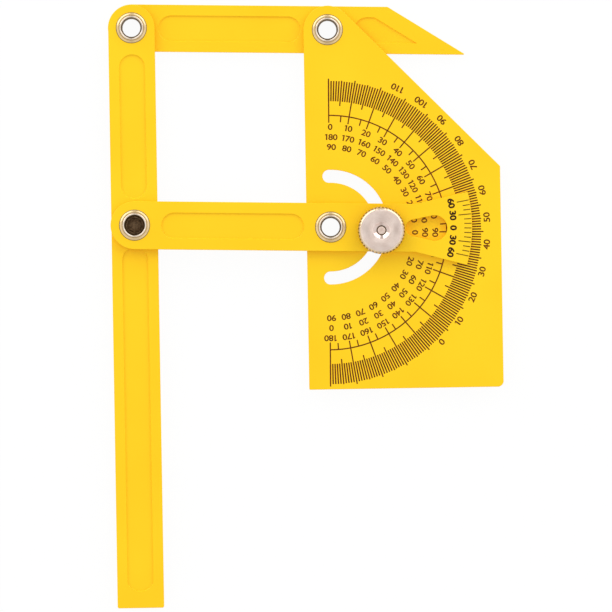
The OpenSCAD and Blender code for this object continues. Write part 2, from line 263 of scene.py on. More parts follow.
# %% Moulded plastic
def abs_plastic():
    """Yellow ABS with mould grain and a slow drift of colour."""
    grain_size = mm(0.6)
    grain_depth = mm(0.012)
    drift_size = mm(45)
    material = bpy.data.materials.new("yellow_moulded_abs")
    tree = empty_tree(material)
    place = add_node(tree, "ShaderNodeTexCoord").outputs["Object"]
    drift = add_node(tree, "ShaderNodeTexNoise", links={"Vector": place},
        values={"Scale": 1 / drift_size, "Detail": 2.0, "Roughness": 0.4})
    shade = add_node(tree, "ShaderNodeValToRGB", links={"Fac": drift.outputs["Fac"]})
    shade.color_ramp.elements[0].position = 0.35
    shade.color_ramp.elements[0].color = colour("#FFCA0C")
    shade.color_ramp.elements[1].position = 0.65
    shade.color_ramp.elements[1].color = colour("#FFD014")
    grain = add_node(tree, "ShaderNodeTexNoise", links={"Vector": place},
        values={"Scale": 1 / grain_size, "Detail": 3.0, "Roughness": 0.6})
    sheen = add_node(tree, "ShaderNodeMapRange", links={"Value": grain.outputs["Fac"]},
        values={"To Min": 0.36, "To Max": 0.5})
    bump = add_node(tree, "ShaderNodeBump", links={"Height": grain.outputs["Fac"]},
        values={"Strength": 0.35, "Distance": grain_depth})
    surface = add_node(tree, "ShaderNodeBsdfPrincipled",
        links={"Base Color": shade.outputs["Color"], "Roughness": sheen.outputs["Result"],
            "Normal": bump.outputs["Normal"]},
        values={"IOR": 1.5, "Specular IOR Level": 0.25})
    add_node(tree, "ShaderNodeOutputMaterial", links={"Surface": surface.outputs["BSDF"]})
    return material


yellow_abs = abs_plastic()
print("made", yellow_abs.name)

# %% [markdown]
# ## The four sheets
# A mould can't make a knife edge, so every edge of the plate and the arms is rounded by a few
# tenths of a millimetre, and that thin round is what draws each outline in the photograph. The
# plain solid has the right outline, holes and panels already. So its mesh is copied, its loose
# triangles are merged, its flat faces are made whole again, and its sharp edges are bevelled.

# %% Helpers for pieces
def select_only(piece):
    """Makes the piece the only one that an operator acts on."""
    bpy.ops.object.select_all(action="DESELECT")
    piece.select_set(True)
    bpy.context.view_layer.objects.active = piece


def smooth_faces(piece, angle):
    """Shades the piece smooth, apart from edges sharper than the angle."""
    select_only(piece)
    bpy.ops.object.shade_smooth_by_angle(angle=math.radians(angle))


def finish_piece(piece, material, body, *nodes):
    """Gives a finished piece its material and body, and hides the plain solids it stands for."""
    piece.data.materials.clear()
    piece.data.materials.append(material)
    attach(piece, body)
    if nodes:
        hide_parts(*nodes)


print("helpers ready")

# %% The four sheets
edge_round = mm(0.25)
small_round = mm(0.2)
merge_gap = mm(0.001)

# In degrees: how flat faces are to be made one, and how sharp edges are to be rounded or kept.
flat_angle = 0.5
sharp_angle = 20
sheet_smooth = 50


def moulded_sheet(node, name, body, edge):
    """A copy of a plain sheet with its edges rounded."""
    piece = bpy.data.objects.new(name, frame["nodes"][node].data.copy())
    bpy.context.scene.collection.objects.link(piece)
    select_only(piece)
    bpy.ops.object.mode_set(mode="EDIT")
    bpy.ops.mesh.select_mode(type="EDGE")
    bpy.ops.mesh.select_all(action="SELECT")
    bpy.ops.mesh.remove_doubles(threshold=merge_gap)
    bpy.ops.mesh.dissolve_limited(angle_limit=math.radians(flat_angle))
    bpy.ops.mesh.select_all(action="DESELECT")
    bpy.ops.mesh.edges_select_sharp(sharpness=math.radians(sharp_angle))
    bpy.ops.mesh.bevel(offset=edge, segments=3, profile=0.5, affect="EDGES",
        clamp_overlap=False, loop_slide=False)
    bpy.ops.object.mode_set(mode="OBJECT")
    smooth_faces(piece, sheet_smooth)
    level = piece.modifiers.new("level_faces", "WEIGHTED_NORMAL")
    level.weight = 100
    level.keep_sharp = True
    bpy.ops.object.modifier_apply(modifier=level.name)
    finish_piece(piece, yellow_abs, body, node)
    print(name, len(piece.data.polygons), "faces")


moulded_sheet("protractor_plate", "plate_sheet", "plate", edge_round)
moulded_sheet("top_arm", "top_arm_sheet", "top", small_round)
moulded_sheet("long_arm", "long_arm_sheet", "long", edge_round)
moulded_sheet("indicator_arm", "indicator_arm_sheet", "indicator", edge_round)

# %% [markdown]
# ## Metals
# The rivets are pressed from sheet metal and nickel plated, which is a mirror with a warm tint.
# Handling leaves fine scratches and a faint haze, so its sheen drifts over a few millimetres. The
# washers were plated in another batch and are warmer still. Inside the barrels, where a washer
# meets the rivet and the plastic, on the bolt's rounded end and at the foot of the nut's
# countersink, the metal is painted a dull brown for the shade that falls there. The bolt and the
# flat washer under the nut are zinc plated, duller and a little pink. The bottom of the closed
# rivet is painted darker still for its deep shade, the nut's grooves are painted dark for the
# shade in them, and fingers burnish the nut's bevel.

# %% Metals
def plated_metal(name, dark, light, low_sheen, high_sheen, mark_size):
    """A plated metal whose colour and sheen drift over marks of a real size."""
    material = bpy.data.materials.new(name)
    tree = empty_tree(material)
    place = add_node(tree, "ShaderNodeTexCoord").outputs["Object"]
    marks = add_node(tree, "ShaderNodeTexNoise", links={"Vector": place},
        values={"Scale": 1 / mark_size, "Detail": 5.0, "Roughness": 0.6})
    tint = add_node(tree, "ShaderNodeValToRGB", links={"Fac": marks.outputs["Fac"]})
    tint.color_ramp.elements[0].position = 0.32
    tint.color_ramp.elements[0].color = colour(dark)
    tint.color_ramp.elements[1].position = 0.62
    tint.color_ramp.elements[1].color = colour(light)
    sheen = add_node(tree, "ShaderNodeMapRange", links={"Value": marks.outputs["Fac"]},
        values={"From Min": 0.3, "From Max": 0.7, "To Min": high_sheen, "To Max": low_sheen})
    surface = add_node(tree, "ShaderNodeBsdfPrincipled",
        links={"Base Color": tint.outputs["Color"], "Roughness": sheen.outputs["Result"]},
        values={"Metallic": 1.0})
    add_node(tree, "ShaderNodeOutputMaterial", links={"Surface": surface.outputs["BSDF"]})
    return material


bright_nickel = plated_metal("bright_nickel_plate", "#E6D3BC", "#F6E8D6", 0.12, 0.2, mm(3))
warm_nickel = plated_metal("warm_nickel_plate", "#E3C28C", "#F2D5A3", 0.16, 0.26, mm(3))
# Painted shade: a dull brown nickel that darkens the bores, joints and gaps where shade falls.
painted_shade_metal = plated_metal("painted_shade_nickel", "#6E5838", "#8E7652", 0.38, 0.6, mm(0.8))
zinc_plate = plated_metal("zinc_plated_steel", "#E2C8B8", "#F6E0D2", 0.3, 0.45, mm(1.2))
# Painted shade: a darker metal for the deep shade at the bottom of the closed rivet.
painted_deep_shade_metal = plated_metal("painted_deep_shade_metal", "#705A44", "#A48A6C", 0.6, 0.75, mm(0.9))
# Painted shade: a dark metal for the shade in the nut's grooves.
groove_shade_metal = plated_metal("groove_shade_metal", "#7A6A54", "#A6947C", 0.35, 0.5, mm(0.6))
burnished_bevel = plated_metal("burnished_nickel_bevel", "#E8CDA8", "#F4DEBC", 0.18, 0.3, mm(3))
polished_nickel = plated_metal("polished_nickel", "#EACFC2", "#F6E2D8", 0.08, 0.14, mm(2))
metals = (bright_nickel, warm_nickel, painted_shade_metal, zinc_plate, painted_deep_shade_metal, groove_shade_metal,
    burnished_bevel, polished_nickel)
print("made", ", ".join(metal.name for metal in metals))

# %% [markdown]
# ## Turned shapes
# Rivets, washers, the bolt and the nut are all round, so each is made as on a lathe: half of its
# section is drawn point by point, by extruding one vertex, and then spun round its axis. Sections
# are given as radius and height in millimetres, and a rounded edge is a short arc of points.

# %% Helpers for turned shapes
seam_gap = mm(0.002)
turned_smooth = 40


def arc(radius, height, round_r, start, end, steps=5):
    """Points of a section's round, from one angle to another in degrees, 0 being outwards."""
    angles = [math.radians(start + (end - start) * i / steps) for i in range(steps + 1)]
    return [(radius + round_r * math.cos(a), height + round_r * math.sin(a)) for a in angles]


def drawn_section(name, centre, section):
    """Starts a piece: a plane is shrunk to one vertex, which is extruded along the section."""
    first = Vector((mm(section[0][0]), 0, mm(section[0][1])))
    bpy.ops.object.select_all(action="DESELECT")
    bpy.ops.mesh.primitive_plane_add(size=mm(1), location=Vector((centre.x, centre.y, 0)) + first)
    piece = bpy.context.object
    piece.name = name
    bpy.ops.object.mode_set(mode="EDIT")
    bpy.ops.mesh.select_mode(type="VERT")
    bpy.ops.mesh.merge(type="CENTER")
    for (r0, z0), (r1, z1) in zip(section, section[1:]):
        bpy.ops.mesh.extrude_region_move(
            TRANSFORM_OT_translate={"value": (mm(r1 - r0), 0, mm(z1 - z0))})
    bpy.ops.mesh.select_all(action="SELECT")
    return piece


def close_shape(smooth_angle=turned_smooth):
    """Merges the seam of the shape in edit mode, faces it outwards and leaves edit mode."""
    bpy.ops.mesh.select_all(action="SELECT")
    bpy.ops.mesh.remove_doubles(threshold=seam_gap)
    bpy.ops.mesh.normals_make_consistent(inside=False)
    bpy.ops.object.mode_set(mode="OBJECT")
    bpy.ops.object.transform_apply(location=True, rotation=True, scale=True)
    smooth_faces(bpy.context.object, smooth_angle)


def turned_piece(name, centre, section, steps=96):
    """A section spun all the way round the upright axis through centre."""
    piece = drawn_section(name, centre, section)
    bpy.ops.mesh.spin(steps=steps, angle=2 * math.pi, center=centre, axis=(0, 0, 1))
    close_shape()
    print(name, len(piece.data.polygons), "faces")
    return piece


print("an arc:", [tuple(round(v, 2) for v in point) for point in arc(5, 1, 0.5, 0, 90, 2)])

# %% [markdown]
# ## Hollow rivets
# Each pivot is an eyelet: a tube with a flange at the back, whose front end is flared by a punch
# and then rolled over a washer. So seen from the front there is a bright rolled ring, and inside
# it a steep flare that ends at the clear hole, which is painted brown for the shade in the bore.
# The left one is closed at its back, so its hole is dark, and its walls and bottom are painted
# darker still for that deep shade. The round head of the pin that set it still sits at the bottom.

# %% Section of a rivet
bore = 3.87
barrel = 4.35
flare_top = 4.42
flare_depth = 2.4
lip_edge = 5.28
flange_edge = 6.7
flange_round = 0.42
foot_round = 0.5
cup_floor = 1.5


def rivet_section(low, high, closed_back):
    """The section of a rivet whose back and lip are at the heights low and high."""
    flange = arc(flange_edge - flange_round, low + flange_round, flange_round, -90, 90, 8)
    outside = [(barrel, low + 2 * flange_round), (barrel, high - 1.0), (lip_edge, high - 0.72)]
    lip = [(lip_edge, high - 0.5), (lip_edge - 0.04, high - 0.27), (lip_edge - 0.14, high - 0.1),
        (lip_edge - 0.3, high - 0.02), (lip_edge - 0.46, high), (flare_top + 0.2, high - 0.06),
        (flare_top + 0.06, high - 0.19), (flare_top, high - 0.36)]
    flare = [(flare_top - 0.08, high - 0.5), (bore + 0.2, high - 1.3), (bore + 0.04, high - 1.9),
        (bore, high - flare_depth)]
    section = flange + outside + lip + flare
    if closed_back:
        back = [(0, low + 0.12), (1.2, low + 0.03), (2.4, low)]
        cup_z = low + cup_floor
        cup = arc(bore - foot_round, cup_z + foot_round, foot_round, 0, -90)
        pin_head = [(3.25, cup_z), (3.1, cup_z + 0.1), (2.5, cup_z + 0.3), (1.7, cup_z + 0.46),
            (0.8, cup_z + 0.57), (0, cup_z + 0.6)]
        return back + section + cup + pin_head
    foot = [(bore, low + foot_round)]
    foot += arc(bore + foot_round, low + foot_round, foot_round, 180, 270)
    return foot + section + foot[:1]


print("a rivet's section has", len(rivet_section(0, 8, False)), "points")

# %% Hollow rivets
bore_shade_edge = flare_top + 0.03


def other_material(piece, centre, material, chosen):
    """Gives one more material to the faces chosen by radius and height in mm and by angle."""
    piece.data.materials.append(material)
    for face in piece.data.polygons:
        across = (face.center - centre).to_2d()
        if chosen(across.length * 1000, face.center.z * 1000, math.atan2(across.y, across.x)):
            face.material_index = len(piece.data.materials) - 1


def rivet(name, node, centre, body, closed_back=False):
    """A finished rivet in the place of a plain one."""
    low, high = heights(node)
    piece = turned_piece(name, centre, rivet_section(low, high, closed_back))
    finish_piece(piece, bright_nickel, body, node)
    # Painted shade: the flare and the bore inside the lip are painted brown for the shade in the
    # hole.
    other_material(piece, centre, painted_shade_metal,
        lambda r, z, turn: r < bore_shade_edge and low + 0.2 < z < high - 0.3)
    if closed_back:
        # Painted shade: the walls and bottom of the closed hole are painted darker still for its
        # deep shade.
        other_material(piece, centre, painted_deep_shade_metal,
            lambda r, z, turn: r < bore and low + 0.5 < z < high - flare_depth)


rivet("corner_rivet", "corner_eyelet", corner_pivot, "long")
rivet("upper_rivet", "upper_eyelet", upper_pivot, "plate")
rivet("centre_rivet", "centre_eyelet", centre_pivot, "plate")
rivet("left_rivet", "blind_rivet", left_pivot, "indicator", closed_back=True)

# %% [markdown]
# ## Washers
# The washers are stamped. Those that the rivets' lips hold down on the plastic are drawn to a low
# dome, which catches each softbox on the side that faces it. The plain one spreads the load of the
# thumb nut, and only its upper edge is rounded, where the die drew the metal in.

# %% Washers
# Painted shade: inside and outside these radii a washer is painted brown, for the shade where it
# meets the rivet's lip and the plastic.
washer_shade_inside = 5.42
washer_shade_outside = 6.46
rivet_hole = 4.4
bolt_hole = 2.05
edge_break = 0.03
hole_break = 0.05


def washer(name, node, centre, body, hole, top, material):
    """A washer whose foot is a plain one's. Its top is its upper side, from the edge inwards."""
    low = heights(node)[0]
    edge = top[0][0]
    section = [(hole, low), (edge - edge_break, low), (edge, low + edge_break)]
    section += [(r, low + z) for r, z in top]
    section += [(hole, low + top[-1][1] - hole_break), (hole, low)]
    piece = turned_piece(name, centre, section)
    finish_piece(piece, material, body, node)
    return piece


domed_top = [(6.7, 0.05), (6.6, 0.13), (6.44, 0.18), (6.25, 0.25), (6.05, 0.35), (5.85, 0.44),
    (5.7, 0.475), (5.42, 0.49), (5.2, 0.5), (4.45, 0.5)]
flat_top = arc(5.8, 0.6, 0.2, 0, 90) + [(2.1, 0.8)]
for spot, node, centre, body in (("corner", "corner_washer", corner_pivot, "long"),
        ("upper", "upper_washer", upper_pivot, "plate"),
        ("centre", "centre_washer", centre_pivot, "plate"),
        ("left", "rivet_washer", left_pivot, "indicator")):
    piece = washer(spot + "_rivet_washer", node, centre, body, rivet_hole, domed_top,
        warm_nickel)
    # Painted shade: the washer's innermost and outermost rings are painted brown for the contact
    # shade.
    other_material(piece, centre, painted_shade_metal,
        lambda r, z, turn: r < washer_shade_inside or r > washer_shade_outside)
washer("nut_flat_washer", "nut_washer", clamp_place, "nut_seat", bolt_hole, flat_top,
    zinc_plate)

# %% [markdown]
# ## Clamp bolt
# A carriage bolt: a low dome behind the plate, a square neck that slides in the slot and can't
# turn in it, and a threaded shank. The dome and the shank are spun in one go, with the thread as
# grooves at its 0.7 mm pitch. The neck is a block with rounded corners, cut off inside the dome.

# %% Dome and thread of the bolt
bolt_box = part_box("clamp_bolt")
bolt_back, bolt_end = heights("clamp_bolt")
head_r = (bolt_box[1].x - bolt_box[0].x) * 500
head_top = -0.1
thread_pitch = 0.7
shank_r = 1.98
root_r = 1.6
tip_r = 1.66

dome = [(0, bolt_back), (1.5, bolt_back + 0.05), (2.9, bolt_back + 0.42), (4.1, bolt_back + 1.0),
    (4.95, bolt_back + 1.6), (head_r - 0.06, head_top - 0.14), (head_r, head_top - 0.06),
    (head_r - 0.06, head_top)]
threads = []
turn_z = head_top
while turn_z < bolt_end - 0.6 - thread_pitch:
    threads += [(shank_r, turn_z), (shank_r, turn_z + 0.1), (root_r, turn_z + 0.35)]
    turn_z += thread_pitch
tip = [(shank_r, turn_z), (shank_r, bolt_end - 0.5), (1.94, bolt_end - 0.36),
    (1.74, bolt_end - 0.06), (tip_r, bolt_end), (0.9, bolt_end - 0.03), (0, bolt_end - 0.05)]
bolt = turned_piece("clamp_carriage_bolt", clamp_place, dome + threads + tip, steps=64)

# %% Square neck and finish of the bolt
neck_side = mm(4.8)
neck_top = mm(2.7)
neck_round = mm(0.3)
neck_sunk = 0.2

bpy.ops.object.select_all(action="DESELECT")
bpy.ops.mesh.primitive_cube_add(size=neck_side, rotation=(0, 0, clamp_angle),
    location=(clamp_place.x, clamp_place.y, neck_top - neck_side / 2))
bpy.ops.object.mode_set(mode="EDIT")
bpy.ops.mesh.bevel(offset=neck_round, segments=2, affect="EDGES")
bpy.ops.mesh.select_all(action="SELECT")
bpy.ops.mesh.bisect(plane_co=(0, 0, mm(head_top - neck_sunk)), plane_no=(0, 0, 1),
    clear_inner=True, use_fill=True)
close_shape()
bolt.select_set(True)
bpy.context.view_layer.objects.active = bolt
bpy.ops.object.join()
finish_piece(bolt, zinc_plate, "indicator", "clamp_bolt")
# Painted shade: the bolt's rounded end is painted brown for the shade in the nut's bore round it.
other_material(bolt, clamp_place, painted_shade_metal,
    lambda r, z, turn: r > tip_r and z > bolt_end - 1)
print(bolt.name, len(bolt.data.polygons), "faces")

# %% [markdown]
# ## Turned face of the nut
# The nut is turned from bar, so its face is covered with grooves round its axis, about a tenth of
# a millimetre apart. They stretch each reflection across themselves, which gives the fan of soft
# light and dark that moves as the nut turns. The shader is told which way the grooves run, and
# coarser rings, drawn 0.35 mm apart so that they show, break the fan up.

# %% Turned face of the nut
def turned_nickel_finish():
    """Nickel on a turned face, with its sheen stretched across the grooves round the axis."""
    ring_pitch = mm(0.35)
    ring_depth = mm(0.01)
    ring_waver = mm(4)
    material = bpy.data.materials.new("turned_nickel_plate")
    tree = empty_tree(material)
    place = add_node(tree, "ShaderNodeTexCoord").outputs["Object"]
    offset = add_node(tree, "ShaderNodeMapping", links={"Vector": place},
        values={"Location": (-clamp_place.x, -clamp_place.y, 0)})
    flat = add_node(tree, "ShaderNodeVectorMath", operation="MULTIPLY",
        links={0: offset.outputs[0]}, values={1: (1, 1, 0)})
    spread = add_node(tree, "ShaderNodeVectorMath", operation="LENGTH", links={0: flat.outputs[0]})
    rings = add_node(tree, "ShaderNodeTexNoise", noise_dimensions="1D",
        links={"W": spread.outputs["Value"]},
        values={"Scale": 1 / ring_pitch, "Detail": 3.0, "Roughness": 0.7})
    waver = add_node(tree, "ShaderNodeTexNoise", links={"Vector": place},
        values={"Scale": 1 / ring_waver, "Detail": 3.0, "Roughness": 0.55})
    grain = add_node(tree, "ShaderNodeMath", operation="MULTIPLY_ADD",
        links={0: rings.outputs[0], 2: waver.outputs[0]}, values={1: 0.5})
    tint = add_node(tree, "ShaderNodeValToRGB", links={"Fac": grain.outputs[0]})
    tint.color_ramp.elements[0].position = 0.5
    tint.color_ramp.elements[0].color = colour("#DEC8BC")
    tint.color_ramp.elements[1].position = 0.95
    tint.color_ramp.elements[1].color = colour("#F2E0D5")
    sheen = add_node(tree, "ShaderNodeMapRange", links={"Value": rings.outputs[0]},
        values={"From Min": 0.3, "From Max": 0.7, "To Min": 0.36, "To Max": 0.5})
    around = add_node(tree, "ShaderNodeVectorMath", operation="CROSS_PRODUCT",
        links={1: flat.outputs[0]}, values={0: (0, 0, 1)})
    along = add_node(tree, "ShaderNodeVectorTransform", vector_type="VECTOR",
        convert_from="OBJECT", convert_to="WORLD", links={0: around.outputs[0]})
    bump = add_node(tree, "ShaderNodeBump", links={"Height": rings.outputs[0]},
        values={"Strength": 0.25, "Distance": ring_depth})
    surface = add_node(tree, "ShaderNodeBsdfPrincipled",
        links={"Base Color": tint.outputs["Color"], "Roughness": sheen.outputs["Result"],
            "Normal": bump.outputs["Normal"], "Tangent": along.outputs[0]},
        values={"Metallic": 1.0, "Anisotropic": 0.85})
    add_node(tree, "ShaderNodeOutputMaterial", links={"Surface": surface.outputs["BSDF"]})
    return material


turned_nickel = turned_nickel_finish()
print("made", turned_nickel.name)

# %% [markdown]
# ## Thumb nut
# Forty ridges run round the nut for the fingers. They are all alike, so one ridge's slice is
# made: the section is spun through one fortieth of a turn, and its rim is pulled in at the middle
# to make the groove, which is deep at the face and runs out towards the back. The slice is then
# repeated round the axis by spinning again, this time in copies. The countersink is cut with a
# smooth tool, so it is mirror bright, and its foot is painted brown for the shade at the bore.
# The bevel round the face is burnished by handling, and the grooves are painted dark for the
# shade in them.

# %% Section of the nut
hub_r = 6.5
hub_height = 1.0
sink_r = 3.6
sink_depth = 1.3
bore_r = 2.05
bore_break = 0.13

nut_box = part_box("thumb_nut")
nut_r = (nut_box[1].x - nut_box[0].x) * 500
nut_back, nut_face = heights("thumb_nut")
sink_foot = nut_face - sink_depth
rim_back = nut_back + hub_height
countersink = [(bore_r, sink_foot), (bore_r + bore_break, sink_foot + 0.1),
    (sink_r - 0.05, nut_face - 0.06), (sink_r + 0.05, nut_face)]
rim = [(9.0, nut_face), (9.12, nut_face - 0.06), (9.7, nut_face - 0.5), (9.95, nut_face - 0.8),
    (10.14, nut_face - 1.2), (nut_r, nut_face - 1.8), (nut_r, rim_back + 1.0),
    (10.05, rim_back + 0.35), (9.7, rim_back)]
hub = [(hub_r, rim_back), (hub_r, nut_back + 0.15), (hub_r - 0.15, nut_back),
    (bore_r + 0.2, nut_back), (bore_r, nut_back + 0.2)]
nut_section = countersink + rim + hub + countersink[:1]
print("the nut's section has", len(nut_section), "points")

# %% Ridges of the nut
ridge_count = 40
slice_steps = 8
groove_depth = 0.7
groove_start = 9.6
groove_end = 2
ridge_smooth = 35

# How deep the groove is at each step across the slice, of 1 at its deepest.
groove_shape = (0, 0.06, 0.4, 0.85, 1, 0.85, 0.4, 0.06, 0)

nut = drawn_section("knurled_thumb_nut", clamp_place, nut_section)
slice_angle = 2 * math.pi / ridge_count
bpy.ops.mesh.spin(steps=slice_steps, angle=slice_angle, center=clamp_place, axis=(0, 0, 1))
close_shape()
for point in nut.data.vertices:
    across = (point.co - clamp_place).to_2d()
    reach = across.length * 1000
    if reach > groove_start:
        step = round(abs(math.atan2(across.y, across.x)) / slice_angle * slice_steps)
        pull = groove_depth * groove_shape[step] * (reach - groove_start) / (nut_r - groove_start)
        if point.co.z < mm(rim_back + groove_end):
            pull = pull / 8  # The groove runs out to an eighth of its depth.
        point.co.xy = clamp_place.xy + across * (1 - pull / reach)
bpy.ops.object.mode_set(mode="EDIT")
bpy.ops.mesh.select_all(action="SELECT")
bpy.ops.mesh.spin(steps=ridge_count - 1, angle=slice_angle * (ridge_count - 1),
    center=clamp_place, axis=(0, 0, 1), dupli=True)
close_shape(ridge_smooth)
print(nut.name, len(nut.data.polygons), "faces")

# %% Finishes of the nut
bevel_start = 9.03
bevel_depth = 0.5
groove_shade_start = 9.3
groove_shade_top = 0.4

# The sides of the painted shade in each groove, as shares of the slice.
groove_shade_from, groove_shade_to = 0.24, 0.76

finish_piece(nut, turned_nickel, "nut", "thumb_nut")
other_material(nut, clamp_place, polished_nickel,
    lambda r, z, turn: bore_r + bore_break < r < sink_r and z > sink_foot)
# Painted shade: the foot of the countersink, at the bore, is painted brown for the shade round the
# bolt's end.
other_material(nut, clamp_place, painted_shade_metal,
    lambda r, z, turn: bore_r < r < bore_r + bore_break and z > sink_foot)
other_material(nut, clamp_place, burnished_bevel,
    lambda r, z, turn: r > bevel_start and z > nut_face - bevel_depth)
# Painted shade: the middle of each groove is painted dark for the shade in it.
other_material(nut, clamp_place, groove_shade_metal,
    lambda r, z, turn: r > groove_shade_start and z < nut_face - groove_shade_top
        and groove_shade_from < turn / slice_angle % 1 < groove_shade_to)
print("finishes:", ", ".join(finish.name for finish in nut.data.materials))

# %% [markdown]
# ## Printing ink
# The scales are pad printed: a soft pad lays down a film of ink a few hundredths of a millimetre
# thick. It dries semi-matt, and it is thinner in places, so the brown drifts in tone over a few
# millimetres. The vernier on the arm is printed in near black, with fine brown lines.

# %% Printing ink
def pad_print_ink(name, thin, thick, patch_size):
    """Printing ink whose tone follows how thick the film is."""
    material = bpy.data.materials.new(name)
    tree = empty_tree(material)
    place = add_node(tree, "ShaderNodeTexCoord").outputs["Object"]
    film = add_node(tree, "ShaderNodeTexNoise", links={"Vector": place},
        values={"Scale": 1 / patch_size, "Detail": 3.0, "Roughness": 0.5})
    tone = add_node(tree, "ShaderNodeValToRGB", links={"Fac": film.outputs["Fac"]})
    tone.color_ramp.elements[0].position = 0.35
    tone.color_ramp.elements[0].color = colour(thick)
    tone.color_ramp.elements[1].position = 0.68
    tone.color_ramp.elements[1].color = colour(thin)
    sheen = add_node(tree, "ShaderNodeMapRange", links={"Value": film.outputs["Fac"]},
        values={"To Min": 0.4, "To Max": 0.6})
    surface = add_node(tree, "ShaderNodeBsdfPrincipled",
        links={"Base Color": tone.outputs["Color"], "Roughness": sheen.outputs["Result"]},
        values={"Specular IOR Level": 0.15})
    add_node(tree, "ShaderNodeOutputMaterial", links={"Surface": surface.outputs["BSDF"]})
    return material


brown_ink = pad_print_ink("brown_pad_print_ink", "#783804", "#502602", mm(3))
black_ink = pad_print_ink("black_pad_print_ink", "#3E1C06", "#2A1004", mm(3))
fine_ink = pad_print_ink("fine_line_ink", "#7C5C04", "#564002", mm(3))
print("made", brown_ink.name, black_ink.name, fine_ink.name)

# %% [markdown]
# ## Lines of the scale
# The scale has a line for each degree over half a circle, longer ones at every five and ten
# degrees, and an arc with short marks inside it. The degree lines took the most ink and are the
# widest, more than half of their pitch. The pad laid the print down a little off the pivot and a
# little turned, and its short marks a degree off the fives, and the print here keeps that. Each
# kind of line is one thin bar of ink at the lower end of the scale, repeated round the print's
# centre by a spin that copies, and the arc is an upright sliver of ink spun without copies. All
# kinds differ a little in height, so that no two faces lie in one plane where lines cross.

# %% Helpers for print
ink_sunk = mm(0.02)
ink_gap = mm(0.0005)


def ink_bar(inner, outer, width, centre, angle, lift):
    """A bar of ink that points away from centre, left in edit mode with its corners rounded."""
    away = Vector((math.cos(angle), math.sin(angle), 0))
    bpy.ops.object.select_all(action="DESELECT")
    bpy.ops.mesh.primitive_plane_add(size=1, rotation=(0, 0, angle),
        location=centre + away * (inner + outer) / 2)
    bar = bpy.context.object
    bar.scale = (outer - inner, width, 1)
    bpy.ops.object.transform_apply(location=True, rotation=True, scale=True)
    bpy.ops.object.mode_set(mode="EDIT")
    bpy.ops.mesh.bevel(offset=width / 5, affect="VERTICES")
    bpy.ops.mesh.select_all(action="SELECT")
    bpy.ops.transform.translate(value=(0, 0, -ink_sunk))
    bpy.ops.mesh.extrude_region_move(TRANSFORM_OT_translate={"value": (0, 0, ink_sunk + lift)})
    bpy.ops.mesh.select_all(action="SELECT")
    return bar


def join_print(name, pieces, material, body):
    """Joins pieces of ink into one, faces it outwards and gives it its ink and body."""
    bpy.ops.object.select_all(action="DESELECT")
    for piece in pieces:
        piece.select_set(True)
    bpy.context.view_layer.objects.active = pieces[0]
    bpy.ops.object.join()
    joined = pieces[0]
    joined.name = name
    bpy.ops.object.mode_set(mode="EDIT")
    bpy.ops.mesh.select_all(action="SELECT")
    bpy.ops.mesh.remove_doubles(threshold=ink_gap)
    bpy.ops.mesh.normals_make_consistent(inside=False)
    bpy.ops.object.mode_set(mode="OBJECT")
    finish_piece(joined, material, body)
    print(name, len(joined.data.polygons), "faces")


print("helpers ready")

# %% Lines of the scale
print_offset = Vector((mm(-0.53), mm(-2.36), 0))
print_turn = math.radians(-0.55)
line_width = mm(0.53)
degree_width = mm(0.6)
scale_centre = Vector((centre_pivot.x, centre_pivot.y, plate_face)) + print_offset
scale_start = print_turn - math.radians(90)


def repeated_line(inner, outer, step, first, last, lift, width=line_width):
    """Lines at every step from first to last, in degrees from the lower end of the scale."""
    start = scale_start + math.radians(first)
    bar = ink_bar(mm(inner), mm(outer), width, scale_centre, start, mm(lift))
    count = (last - first) // step
    bpy.ops.mesh.spin(steps=count, angle=-math.radians(count * step), center=scale_centre,
        axis=(0, 0, 1), dupli=True)
    bpy.ops.object.mode_set(mode="OBJECT")
    return bar


lines = [
    repeated_line(56.8, 65.6, step=1, first=0, last=180, lift=0.015, width=degree_width),
    repeated_line(54.9, 65.9, step=10, first=5, last=175, lift=0.018),
    repeated_line(47.5, 66.6, step=10, first=0, last=180, lift=0.021),
    repeated_line(47.9, 50.6, step=10, first=4, last=174, lift=0.018)]
print(len(lines), "kinds of line")

# %% Arc of the scale
arc_radius = mm(50.7)
arc_lift = mm(0.024)
arc_steps = 90

away = Vector((math.cos(scale_start), math.sin(scale_start), 0))
bpy.ops.object.select_all(action="DESELECT")
bpy.ops.mesh.primitive_plane_add(size=1, rotation=(math.radians(90), 0, scale_start),
    location=scale_centre + away * arc_radius + Vector((0, 0, (arc_lift - ink_sunk) / 2)))
arc_line = bpy.context.object
arc_line.scale = (line_width, ink_sunk + arc_lift, 1)
bpy.ops.object.transform_apply(location=True, rotation=True, scale=True)
bpy.ops.object.mode_set(mode="EDIT")
bpy.ops.mesh.select_all(action="SELECT")
bpy.ops.mesh.spin(steps=arc_steps, angle=-math.pi, center=scale_centre, axis=(0, 0, 1))
bpy.ops.mesh.select_all(action="SELECT")
bpy.ops.mesh.fill_holes(sides=4)
bpy.ops.object.mode_set(mode="OBJECT")
join_print("scale_lines", lines + [arc_line], brown_ink, "plate")

# %% [markdown]
# ## Numbers
# Three rings of numbers run inside the lines, and a fourth outside them that reads from the other
# side. They are text in Blender's own font. Each number is typed at its printed height, thickened
# and made a mesh, and only then stretched to the print's wider digits, turned and moved to its
# place round the scale. Thickening closes the eye of this font's 4, so a number with a 4 is left
# thin and struck four times, a trace apart. This font's 1 is a bare bar, so its upper left side
# is extruded to the flag that the print's 1 has. The inner rings are set a trace closer than ten
# degrees, and their upper halves lean towards the arm, and the outer ring stands a little higher
# than the rest, as on the tool.

# %% Flags for ones
flag_reach = mm(0.4)
flag_fall = mm(0.32)
flag_width = mm(0.42)

# With its flag, a one is moved a little towards the digit that follows it.
one_shift = mm(0.25)

# How far from a one's left side its faces and points still belong to it.
same_side = mm(0.03)
near_left = mm(0.1)


